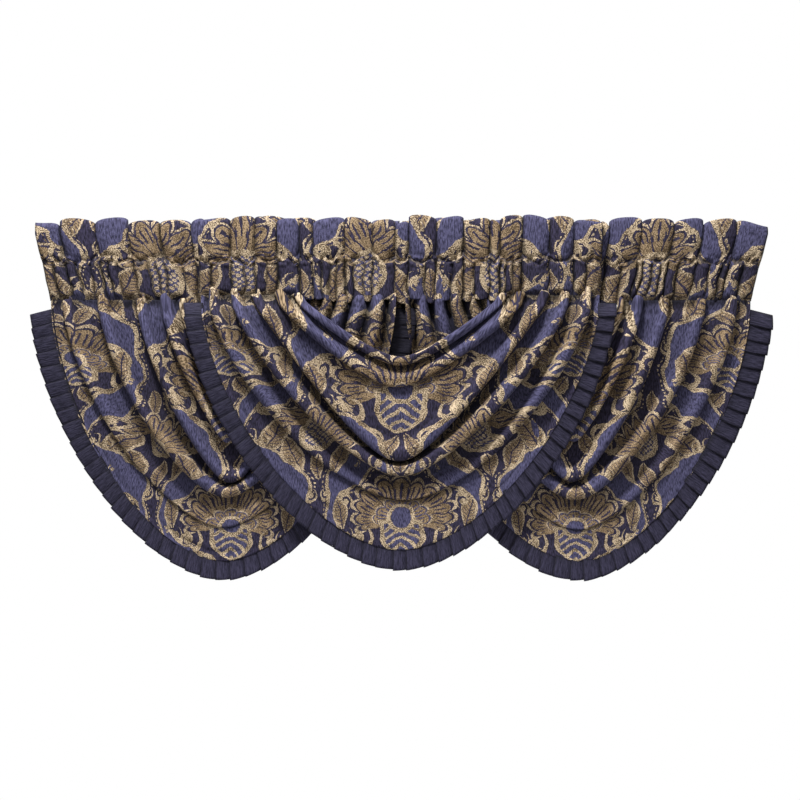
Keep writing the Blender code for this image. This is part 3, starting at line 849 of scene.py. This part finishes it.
def pleat_line(pleats, random):
    """Knife pleats side by side: each point's place along the hem, in pleats, its place in its own pleat, and
    how far forward it is."""
    stray = np.concatenate(([0.0], random.uniform(-PLEAT_STRAY, PLEAT_STRAY, pleats - 1), [0.0]))
    starts = np.arange(pleats + 1) + stray
    share = np.tile([point.along for point in PLEAT_LINE], pleats)
    forward = np.tile([point.forward for point in PLEAT_LINE], pleats)
    along = np.repeat(starts[:-1], len(PLEAT_LINE)) + share * np.repeat(np.diff(starts), len(PLEAT_LINE))
    return along, share, forward * np.repeat(random.uniform(*PLEAT_FULL, pleats), len(PLEAT_LINE))


def trim_light(angle, share, middle):
    """How light a trim is: dark beside each pleat's edge, along the swag, at its sides and in the middle."""
    across = np.linspace(0.0, 1.0, TRIM_ROWS)[:, None]
    spot = np.where(share > 1.0, share - 1.0, share)
    lines = TRIM_SHADE * (1.0 - MIDDLE_FLAT * middle) * hump(spot, 0.0, TRIM_DARK_WIDTH)
    light = 1.0 - lines * (0.5 + 0.5 * across)
    light = light * (1.0 - TRIM_SHADE * (1.0 - across) ** TRIM_DARK_POWER)
    return light * (1.0 - SIDE_SHADE * abs(np.cos(angle))) * (1.0 - MIDDLE_SHADE * middle)


def make_trim(valance, materials):
    random = np.random.default_rng(valance.seed + TRIM_SEED)
    last = len(valance.folds) - 1.0
    fine = np.linspace(TRIM_START, pi - TRIM_START, TRIM_SAMPLES)
    run = lengths(np.stack(swag_point(valance, fine, last), axis=-1), 0)
    pleats = ceil(run[-1] / PLEAT)
    along, share, forward = pleat_line(pleats, random)
    length = np.clip(along, 0.0, pleats) * (run[-1] / pleats)
    angle = np.interp(length, run, fine)
    start = np.stack(swag_point(valance, angle, last), axis=-1)
    middle = fade(abs(start[:, 0]), *MIDDLE_REACH) if is_side(valance) else 0.0
    forward = forward * (1.0 - MIDDLE_FLAT * middle)
    x, drop = hang(valance, valance.folds[-1:] + (valance.edge,), angle, 1.0)
    edge = np.stack((x, start[:, 1] + SIDE_BACK * (1.0 - np.sin(angle)), -valance.seam - drop), axis=-1)
    outward = edge - start
    wide = np.linalg.norm(outward, axis=1, keepdims=True)
    outward /= wide
    ragged = random.uniform(-PLEAT_RAGGED, PLEAT_RAGGED, pleats)
    step = PLEAT_STEP * (share - PLEAT_LEVEL) + np.repeat(ragged, len(PLEAT_LINE))
    outer = length if valance.middle > 0.0 else run[-1] - length
    rows = []
    for across in np.linspace(0.0, 1.0, TRIM_ROWS):
        reach = -TRIM_TUCK + across * (wide + TRIM_TUCK)
        point = start + outward * (reach + step[:, None] * across**2)
        opened = PLEAT_OPENS[0] + PLEAT_OPENS[1] * smooth(across * PLEAT_OPENS[2])
        point[:, 1] += TRIM_BEHIND * (1.0 - smooth(across / TRIM_OVER)) - forward * opened
        point[:, 1] -= TRIM_ROUGH * rough(valance, TRIMS, length, across) * across
        if is_side(valance):
            point[:, 2] -= END_SLANT * across * hump(outer, 0.0, END_REACH)
        rows.append(point)
    points = np.array(rows)
    cloth = np.stack(np.broadcast_arrays(lengths(points, 1)[-1], lengths(points, 0)), axis=-1)
    light = trim_light(angle, share, middle)
    return grid(f"trim_{valance.name}_cloth", *facing_viewer(points, cloth, light), materials)


# ---------------------------------------------------------------- node arithmetic
class Value:
    """A number or vector in a node tree; its arithmetic adds the Math nodes for it."""

    def __init__(self, tree, socket):
        self.tree = tree
        self.socket = socket

    def math(self, operation, *others):
        return add_node(self.tree, "Math", dict(enumerate((self,) + others)), operation=operation)

    def __rsub__(self, other):
        return self.math("MULTIPLY_ADD", -1.0, other)

    __add__ = __radd__ = partialmethod(math, "ADD")
    __sub__ = partialmethod(math, "SUBTRACT")
    __mul__ = __rmul__ = __and__ = partialmethod(math, "MULTIPLY")
    __truediv__ = partialmethod(math, "DIVIDE")
    __pow__ = partialmethod(math, "POWER")
    __abs__ = partialmethod(math, "ABSOLUTE")
    __lt__ = partialmethod(math, "LESS_THAN")
    __gt__ = partialmethod(math, "GREATER_THAN")
    __or__ = partialmethod(math, "MAXIMUM")
    cos = partialmethod(math, "COSINE")
    sin = partialmethod(math, "SINE")

    def without(self, other):
        """This mask where the other one is 0."""
        return self.math("MULTIPLY", 1.0 - other)

    def clamp(self):
        return self.math("MAXIMUM", 0.0).math("MINIMUM", 1.0)

    def wrap(self, low, high):
        return self.math("WRAP", high, low)

    def within(self, width):
        return abs(self) < width


def add_node(tree, kind, inputs, output=0, **settings):
    """The output of a new node; inputs gives what its inputs are, by number or name: values or plain numbers,
    tuples and colours."""
    node = tree.nodes.new(f"ShaderNode{kind}")
    for name, setting in settings.items():
        setattr(node, name, setting)
    feed(tree, node, inputs)
    return Value(tree, node.outputs[output])


def feed(tree, node, inputs):
    """Joins values to a node's inputs, or sets them to plain numbers, tuples or colours."""
    for name, item in inputs.items():
        if isinstance(item, Value):
            tree.links.new(item.socket, node.inputs[name])
        else:
            node.inputs[name].default_value = item


def choose(mask, first, second):
    """first where the mask is 0, second where it is 1."""
    return add_node(mask.tree, "Mix", {0: mask, 2: first, 3: second}, data_type="FLOAT")


def paint(mask, first, second):
    """The same for colours."""
    return add_node(mask.tree, "Mix", {0: mask, 6: first, 7: second}, 2, data_type="RGBA")


def pair(x, y):
    """A vector from two numbers."""
    return add_node(x.tree, "CombineXYZ", {0: x, 1: y})


def parts(vector):
    """x and y of a vector."""
    node = vector.tree.nodes.new("ShaderNodeSeparateXYZ")
    feed(vector.tree, node, {0: vector})
    return Value(vector.tree, node.outputs[0]), Value(vector.tree, node.outputs[1])


def placed(vector, x, y, angle=0.0, width=1.0, height=1.0):
    """The vector seen from (x, y), turned by angle degrees, in units of width and height."""
    inputs = {0: vector, "Location": (x, y, 0.0), "Rotation": (0.0, 0.0, radians(angle))}
    return add_node(vector.tree, "Mapping", {**inputs, "Scale": (width, height, 1.0)}, vector_type="TEXTURE")


def vector_math(operation, vector, *others, output="Vector"):
    inputs = dict(enumerate((vector,) + others))
    return add_node(vector.tree, "VectorMath", inputs, output, operation=operation)


def length_of(vector):
    return vector_math("LENGTH", vector, output="Value")


def noise_of(vector, width, height, detail=2.0, output="Fac"):
    """Noise whose grains are about width by height metres."""
    inputs = {"Vector": placed(vector, 0.0, 0.0, 0.0, width, height), "Scale": 1.0, "Detail": detail}
    return add_node(vector.tree, "TexNoise", inputs, output, noise_dimensions="2D")


def own_map(tree, name):
    """One of the piece's own UV maps: cloth coordinates or light."""
    return add_node(tree, "UVMap", {}, uv_map=name)


# ---------------------------------------------------------------- damask
REPEAT_WIDE = 0.56
REPEAT_HIGH = 0.58
MOTIF = (1.76, 1.36)  # size of the flowers, across and up
OPEN = 0.72  # how far the blue bands swing towards each other: 1 where they would meet
BORDER = 0.0041  # half the width of the gold line round the blue
BEADS = (0.0125, 0.0016, 44.0)  # a row of beads beside the blue: how far off, half its width, how many
TONE = 0.35  # how light the gold is inside a petal or leaf, against its rim
DRAWN = (0.0550, 0.0180)  # a slow wander that makes no two leaves alike: over what length, and how far
RAGGED = (0.0060, 0.0042)  # and how the woven edges wander


def oval(vector, x, y, width, height, angle=0.0):
    """1 inside an oval."""
    return length_of(placed(vector, x, y, angle, width, height)) < 1.0


def oval_ring(vector, x, y, width, height, line, angle=0.0):
    """1 on a ring of about the given line width, as a share of the oval's size."""
    return (length_of(placed(vector, x, y, angle, width, height)) - 1.0).within(line)


def leaf(vector, x, y, angle, half_length, half_width, veins=6.0):
    """The gold of a pointed leaf with a midrib and side veins: 1 on its rim, TONE inside."""
    along, across = parts(placed(vector, x, y, angle, half_length, half_width))
    side = abs(across)
    room = 1.0 - along * along
    inside = side < room
    vein = (along * veins + side * -1.6).math("FRACT") < 0.20
    rib = side < 0.07
    rim = side > room - 0.22
    return inside.without(vein.without(rim) | rib) * (rim * (1.0 - TONE) + TONE)


def scroll(vector, x, y, radius, turn, angle=0.0):
    """The gold of a curled tendril: one arm of a log spiral that ends in a bead."""
    seen = placed(vector, x, y, angle, radius, radius)
    across, up = parts(seen)
    reach = length_of(seen)
    bearing = up.math("ARCTAN2", across)
    phase = (bearing * (turn / (2.0 * pi)) + reach.math("LOGARITHM", 2.718) * 0.80).math("FRACT")
    arm = (phase - 0.5).within(0.22)
    return (reach < 1.0) & (arm | (reach < 0.30))


def spray(vector, y, size, petals, spread, droop, sharp=0.5):
    """A fan of petals round (0, y): its gold, as a leaf's, and its whole shape. spread is its half angle."""
    seen = placed(vector, 0.0, y, 0.0, size, size)
    across, up = parts(seen)
    reach = length_of(seen)
    bearing = across.math("ARCTAN2", up)
    step = radians(spread) * 2.0 / petals
    lobe = abs((bearing * (pi / step)).cos())
    edge = (lobe**sharp * 0.2 + 0.8) * (1.0 - bearing * bearing * droop)
    inside = (reach < edge) & (bearing < radians(spread))
    gap = (lobe * reach) < 0.085
    rim = reach > edge - 0.07
    groove = (reach > edge - 0.12).without(rim)
    stripe = (bearing * (5.0 * pi / step)).cos() > 0.50
    ray = stripe & (reach > 0.50) & (reach < edge - 0.2)
    return inside.without(gap | groove | ray) * (rim * (1.0 - TONE) + TONE), inside


def palmette(seen):
    """A fan palmette over a shield, with leaves and curls: its gold and its blue."""
    petals, _ = spray(seen, -0.020, 0.112, 13, 112, 0.070)
    heart, heart_all = spray(seen, -0.020, 0.050, 7, 100, 0.0)
    eye = oval(seen, 0.0, -0.016, 0.016, 0.020)
    eye_ring = oval_ring(seen, 0.0, -0.016, 0.020, 0.025, 0.15)
    shield_x, shield_y = parts(placed(seen, 0.0, -0.058, 0.0, 0.036, 0.040))
    taper = 1.0 - shield_y.math("MINIMUM", 0.0) * shield_y * 0.9
    shield = (abs(shield_x) < taper) & shield_y.within(1.0)
    core = (abs(shield_x) < taper - 0.22) & (shield_y + 0.05).within(0.80)
    chevron = ((abs(shield_x) * 0.8 + shield_y) * 2.2).math("FRACT") < 0.4
    gold = petals
    for x, y, radius, turn in (
        (0.078, -0.058, 0.029, 1.0), (0.046, -0.106, 0.021, -1.0), (0.116, -0.052, 0.018, -1.0),
        (0.112, 0.052, 0.020, 1.0),
    ):
        gold = gold | scroll(seen, x, y, radius, turn)
    for x, y, angle, long, wide in (
        (0.118, 0.004, 80, 0.036, 0.017), (0.020, -0.130, -62, 0.034, 0.012), (0.0, 0.122, 90, 0.030, 0.013),
        (0.030, 0.108, 52, 0.026, 0.011), (0.060, -0.088, 20, 0.030, 0.010), (0.0, 0.184, 90, 0.022, 0.011),
        (0.020, 0.168, 34, 0.020, 0.009),
    ):
        gold = gold | leaf(seen, x, y, angle, long, wide, 5.0)
    gold = gold.without(heart_all) | heart
    gold = gold.without(shield) | shield.without(core) | (core & chevron)
    gold = gold.without(eye) | eye_ring
    return gold, (core | eye | heart_all).without(gold > 0.0)


def seed_head(seen):
    """A crowned seed head with leaves and curls: its gold and its blue."""
    gold, _ = spray(seen, 0.006, 0.104, 9, 96, 0.05, 1.4)
    seed = oval(seen, 0.0, -0.014, 0.036, 0.046)
    across, up = parts(placed(seen, 0.0, 0.0, 0.0, 0.0125, 0.0125))
    scales = ((across + up).math("PINGPONG", 0.5) * (up - across).math("PINGPONG", 0.5)) > 0.045
    for x, y, angle, long, wide, veins in (
        (0.080, -0.036, 122, 0.050, 0.024, 7.0), (0.046, -0.082, 66, 0.044, 0.018, 6.0),
        (0.0, -0.104, 90, 0.036, 0.014, 6.0), (0.0, 0.132, 90, 0.028, 0.012, 6.0),
        (0.096, -0.088, 30, 0.034, 0.013, 5.0),
    ):
        gold = gold | leaf(seen, x, y, angle, long, wide, veins)
    for x, y, radius, turn in (
        (0.098, 0.030, 0.024, 1.0), (0.056, 0.112, 0.019, -1.0), (0.126, -0.030, 0.018, 1.0),
    ):
        gold = gold | scroll(seen, x, y, radius, turn)
    gold = gold.without(seed) | oval_ring(seen, 0.0, -0.014, 0.036, 0.046, 0.11) | (seed & scales)
    return gold, seed.without(gold > 0.0)


# Curls that leave the blue's edge: how far up the cell, how far in from its edge, size, and way round.
Curl = namedtuple("Curl", "up inward radius turn")
CURLS = (
    Curl(-0.235, 0.030, 0.020, 1.0),
    Curl(-0.165, 0.042, 0.024, -1.0),
    Curl(-0.060, 0.042, 0.022, 1.0),
    Curl(0.030, 0.054, 0.025, -1.0),
    Curl(0.120, 0.042, 0.023, 1.0),
    Curl(0.190, 0.036, 0.021, -1.0),
)
INNER_CURLS = (
    Curl(-0.045, 0.006, 0.015, 1.0),
    Curl(0.150, 0.006, 0.013, -1.0),
)


def wander(vector, grain, reach):
    """The vector moved about by noise, by up to reach metres over grain metres."""
    push = vector_math("SUBTRACT", noise_of(vector, grain, grain, 1.0, "Color"), (0.5, 0.5, 0.5))
    return vector_math("ADD", vector, vector_math("MULTIPLY", push, (reach, reach, 0.0)))


def band_middle(up):
    """How far from the middle of a repeat the blue band lies, up metres above it."""
    return (np.cos(up * 2.0 * pi / REPEAT_HIGH) * OPEN + 1.0) * REPEAT_WIDE / 4


def band_edge(seen, turn, edge):
    """How far outside the blue band a point is: an uneven band, with a few broader places."""
    band = abs(edge) - ((turn * 2.0 + 0.2).cos() * -0.018 + (turn * 5.0 + 0.9).cos() * 0.007 + 0.025)
    for up, inward, radius in ((0.095, 0.020, 0.030), (-0.125, 0.022, 0.026)):
        blob = length_of(placed(seen, band_middle(up) - inward, up)) - radius
        band = band.math("SMOOTH_MIN", blob, 0.022)
    return band


def damask_masks(vector):
    """The damask's gold (1 where lightest) and blue, from cloth coordinates: blue bands between two kinds of
    flower."""
    u, v = parts(wander(wander(vector, *DRAWN), *RAGGED))
    x = abs(u.wrap(-REPEAT_WIDE / 2, REPEAT_WIDE / 2))
    y = v.wrap(-REPEAT_HIGH / 2, REPEAT_HIGH / 2)
    turn = y * (2.0 * pi / REPEAT_HIGH)
    middle = turn.cos() * (REPEAT_WIDE / 4 * OPEN) + REPEAT_WIDE / 4
    slope = turn.sin() * (REPEAT_WIDE * pi / 2.0 / REPEAT_HIGH * OPEN)
    edge = (x - middle) / (slope * slope + 1.0) ** 0.5
    other = edge > 0.0
    seen_x = choose(other, x, REPEAT_WIDE / 2 - x)
    seen_y = choose(other, y, (y + REPEAT_HIGH / 2).wrap(-REPEAT_HIGH / 2, REPEAT_HIGH / 2))
    seen = pair(seen_x, seen_y)
    band = band_edge(seen, turn, edge)
    inside = band < 0.0
    line = (band - BORDER * 0.6).within(BORDER)
    flower = placed(seen, 0.0, 0.0, 0.0, *MOTIF)
    first_gold, first_blue = palmette(flower)
    second_gold, second_blue = seed_head(flower)
    gold = choose(other, first_gold, second_gold)
    blue = choose(other, first_blue, second_blue)
    for curl in CURLS:
        gold = gold | scroll(seen, band_middle(curl.up) - curl.inward, curl.up, curl.radius, curl.turn)
    beads = (band - BEADS[0]).within(BEADS[1]) & ((turn * BEADS[2]).cos() > 0.1)
    gold = gold.without(inside) | line | beads
    for curl in INNER_CURLS:
        gold = gold | scroll(seen, band_middle(curl.up) - curl.inward, curl.up, curl.radius, curl.turn)
    return gold, (blue | inside).without(gold > 0.0)


# ---------------------------------------------------------------- cloth materials
# Thread colours of a damask face, each in shade and in light; the gold has a third, in light on a rim.
Face = namedtuple("Face", "ground blue gold")
FRONT = Face(
    ((0.0125, 0.0105, 0.0225, 1.0), (0.0490, 0.0415, 0.0850, 1.0)),
    ((0.0290, 0.0275, 0.0600, 1.0), (0.1100, 0.1050, 0.2060, 1.0)),
    ((0.0850, 0.0540, 0.0280, 1.0), (0.4300, 0.3050, 0.1800, 1.0), (0.7600, 0.5950, 0.4000, 1.0)),
)
REVERSE = Face(
    ((0.0390, 0.0340, 0.0490, 1.0), (0.0850, 0.0730, 0.0940, 1.0)),
    ((0.0590, 0.0560, 0.0910, 1.0), (0.1100, 0.1040, 0.1630, 1.0)),
    ((0.0720, 0.0590, 0.0650, 1.0), (0.1950, 0.1560, 0.1300, 1.0), (0.2470, 0.1950, 0.1560, 1.0)),
)
# The trim's colour in painted shade and in painted light, mixed by its crinkles and threads.
TRIM_DARK = (0.0170, 0.0152, 0.0315, 1.0)
TRIM_LIGHT = (0.0730, 0.0665, 0.1270, 1.0)
BLACK = (0.0, 0.0, 0.0, 1.0)
CLOTH_GLOSS = 0.22
CLOTH_SHEEN = 0.03
SHEEN_SPREAD = 0.45
FLAT_ROUGHNESS = 0.82  # of the damask's ground and blue
GOLD_ROUGHNESS = 0.66
TRIM_ROUGHNESS = (0.80, 0.12)  # of the trim, and how much less its crinkles have
DAMASK_BUMP = (0.8, 0.0009)  # strength of a bump, and its height in metres
TRIM_BUMP = (0.7, 0.0010)
DAMASK_RAISED = (0.45, 0.25)  # share of that for slubs and for streaks
FINE_RAISED = 0.25  # and for the trim's threads, beside its crinkles
TRIM_TONE = (0.6, 0.3)  # how much crinkles and threads lighten the trim: painted light and shade of the crinkles, and the threads' grain
SLUB_POWER = 1.3  # how narrow the lightest slubs are

# Threads as noise: the size of its grains, its detail, where threads start in it, and how fast they grow.
Thread = namedtuple("Thread", "width height detail start gain")
STREAK = Thread(0.0030, 0.0120, 2.0, 0.34, 3.4)  # upright slubs of the damask's ground
SLUB = Thread(0.0030, 0.0030, 2.0, 0.37, 4.2)  # knotty threads of its gold
CRINKLE = Thread(0.0030, 0.0240, 3.0, 0.35, 3.2)  # crosswise crinkles of the trim
FINE = Thread(0.0009, 0.0060, 1.0, 0.35, 3.0)  # and its threads
WORN = (0.030, 0.040, 1.0)  # size and detail of lighter and darker patches of gold
WORN_SHARE = 0.30


def threads(cloth, thread, *more):
    """Noise from 0 to 1 like the given threads, with more noise added to it."""
    grain = sum(more, noise_of(cloth, thread.width, thread.height, thread.detail))
    return ((grain - thread.start) * thread.gain).clamp()


def cloth_material(name, weave, strength, distance):
    """A woven material; weave gives its colour, bump height and roughness for cloth coordinates. The piece's
    own light map darkens it where it lies deep between folds."""
    material = bpy.data.materials.new(name)
    material.use_nodes = True
    tree = material.node_tree
    colour, height, roughness = weave(own_map(tree, "cloth"))
    light, _ = parts(own_map(tree, "light"))
    bump = {"Strength": strength, "Distance": distance, "Height": height}
    feed(tree, tree.nodes["Principled BSDF"], {
        "Base Color": paint(light, BLACK, colour),
        "Normal": add_node(tree, "Bump", bump),
        "Roughness": roughness,
        "Specular IOR Level": CLOTH_GLOSS,
        "Sheen Weight": CLOTH_SHEEN,
        "Sheen Roughness": SHEEN_SPREAD,
    })
    return material


def damask_weave(face, cloth):
    gold, blue = damask_masks(cloth)
    streak = threads(cloth, STREAK)
    worn = noise_of(cloth, *WORN) - 0.5
    slub = threads(cloth, SLUB, worn * WORN_SHARE) ** SLUB_POWER
    flat = paint(blue, paint(streak, *face.ground), paint(streak, *face.blue))
    shade, inner, rim = face.gold
    golds = paint(slub, shade, paint((gold - TONE) * (1.0 / (1.0 - TONE)), inner, rim))
    raised = slub * DAMASK_RAISED[0] + streak * DAMASK_RAISED[1]
    return paint(gold > 0.0, flat, golds), raised, choose(gold > 0.0, FLAT_ROUGHNESS, GOLD_ROUGHNESS)


def trim_weave(cloth):
    crinkle = threads(cloth, CRINKLE)
    fine = threads(cloth, FINE)
    colour = paint(crinkle * TRIM_TONE[0] + fine * TRIM_TONE[1], TRIM_DARK, TRIM_LIGHT)
    return colour, crinkle + fine * FINE_RAISED, TRIM_ROUGHNESS[0] - crinkle * TRIM_ROUGHNESS[1]


# ---------------------------------------------------------------- stage
VIEW_CENTRE = (-0.0025, 0.0, -0.4575)
VIEW_DISTANCE = 4.7222
VIEW_LENS = 85.0
FLOOR_HEIGHT = -2.2
FLOOR_RADIUS = 1.5
FLOOR_COLOUR = (0.80, 0.80, 0.79, 1.0)
FLOOR_ROUGHNESS = 0.9
WORLD_LOW = 0.05  # light from straight below
WORLD_HIGH = 0.80  # and from straight above

Lamp = namedtuple("Lamp", "name place size power")
LAMPS = (
    Lamp("key light", (-0.6, -1.5, 2.4), 0.6, 140.0),
    Lamp("back light", (0.6, 2.4, 1.2), 1.6, 60.0),
)


def make_camera():
    lens = bpy.data.cameras.new("camera")
    lens.lens = VIEW_LENS
    lens.sensor_width = 36.0
    place = (VIEW_CENTRE[0], -VIEW_DISTANCE, VIEW_CENTRE[2])
    bpy.context.scene.camera = put("camera", lens, place, (radians(90.0), 0.0, 0.0))


def make_floor():
    disc = mesh_of("floor", bmesh.ops.create_circle, cap_ends=True, segments=96, radius=FLOOR_RADIUS)
    pale = bpy.data.materials.new("pale floor")
    pale.use_nodes = True
    shader = pale.node_tree.nodes["Principled BSDF"]
    feed(pale.node_tree, shader, {"Base Color": FLOOR_COLOUR, "Roughness": FLOOR_ROUGHNESS})
    disc.materials.append(pale)
    floor = put("floor", disc, (0.0, 0.0, FLOOR_HEIGHT))


def make_lights():
    for lamp in LAMPS:
        light = bpy.data.lights.new(lamp.name, "AREA")
        light.shape = "DISK"
        light.size = lamp.size
        light.energy = lamp.power
        turn = (Vector(VIEW_CENTRE) - Vector(lamp.place)).to_track_quat("-Z", "Y").to_euler()
        put(lamp.name, light, lamp.place, turn)


def make_world():
    """A white room behind the set that lights it more from above than from below."""
    world = bpy.data.worlds.new("studio")
    world.use_nodes = True
    tree = world.node_tree
    direction = add_node(tree, "TexCoord", {}, "Generated")
    height = add_node(tree, "SeparateXYZ", {0: direction}, "Z")
    glow = (height * 0.5 + 0.5) * (WORLD_HIGH - WORLD_LOW) + WORLD_LOW
    strength = choose(add_node(tree, "LightPath", {}, "Is Camera Ray"), glow, 1.0)
    feed(tree, tree.nodes["Background"], {"Color": (1.0, 1.0, 1.0, 1.0), "Strength": strength})
    bpy.context.scene.world = world
    bpy.context.scene.view_settings.view_transform = "Standard"


# ---------------------------------------------------------------- build
def main():
    make_camera()
    make_floor()
    make_lights()
    make_world()
    front = cloth_material("damask face", partial(damask_weave, FRONT), *DAMASK_BUMP)
    reverse = cloth_material("damask reverse", partial(damask_weave, REVERSE), *DAMASK_BUMP)
    trim = cloth_material("crinkled trim", trim_weave, *TRIM_BUMP)
    for valance in VALANCES:
        heading = make_heading(valance, (front, reverse))
        swag = make_swag(valance, (front, reverse))
        border = make_trim(valance, (trim,))
        for thing, node, slot in (
            (heading, "heading", "damask"), (swag, "swag", "damask"), (border, "trim", "trim"),
        ):
            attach(thing, "root")
            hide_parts(f"{node}_{valance.name}")


main()
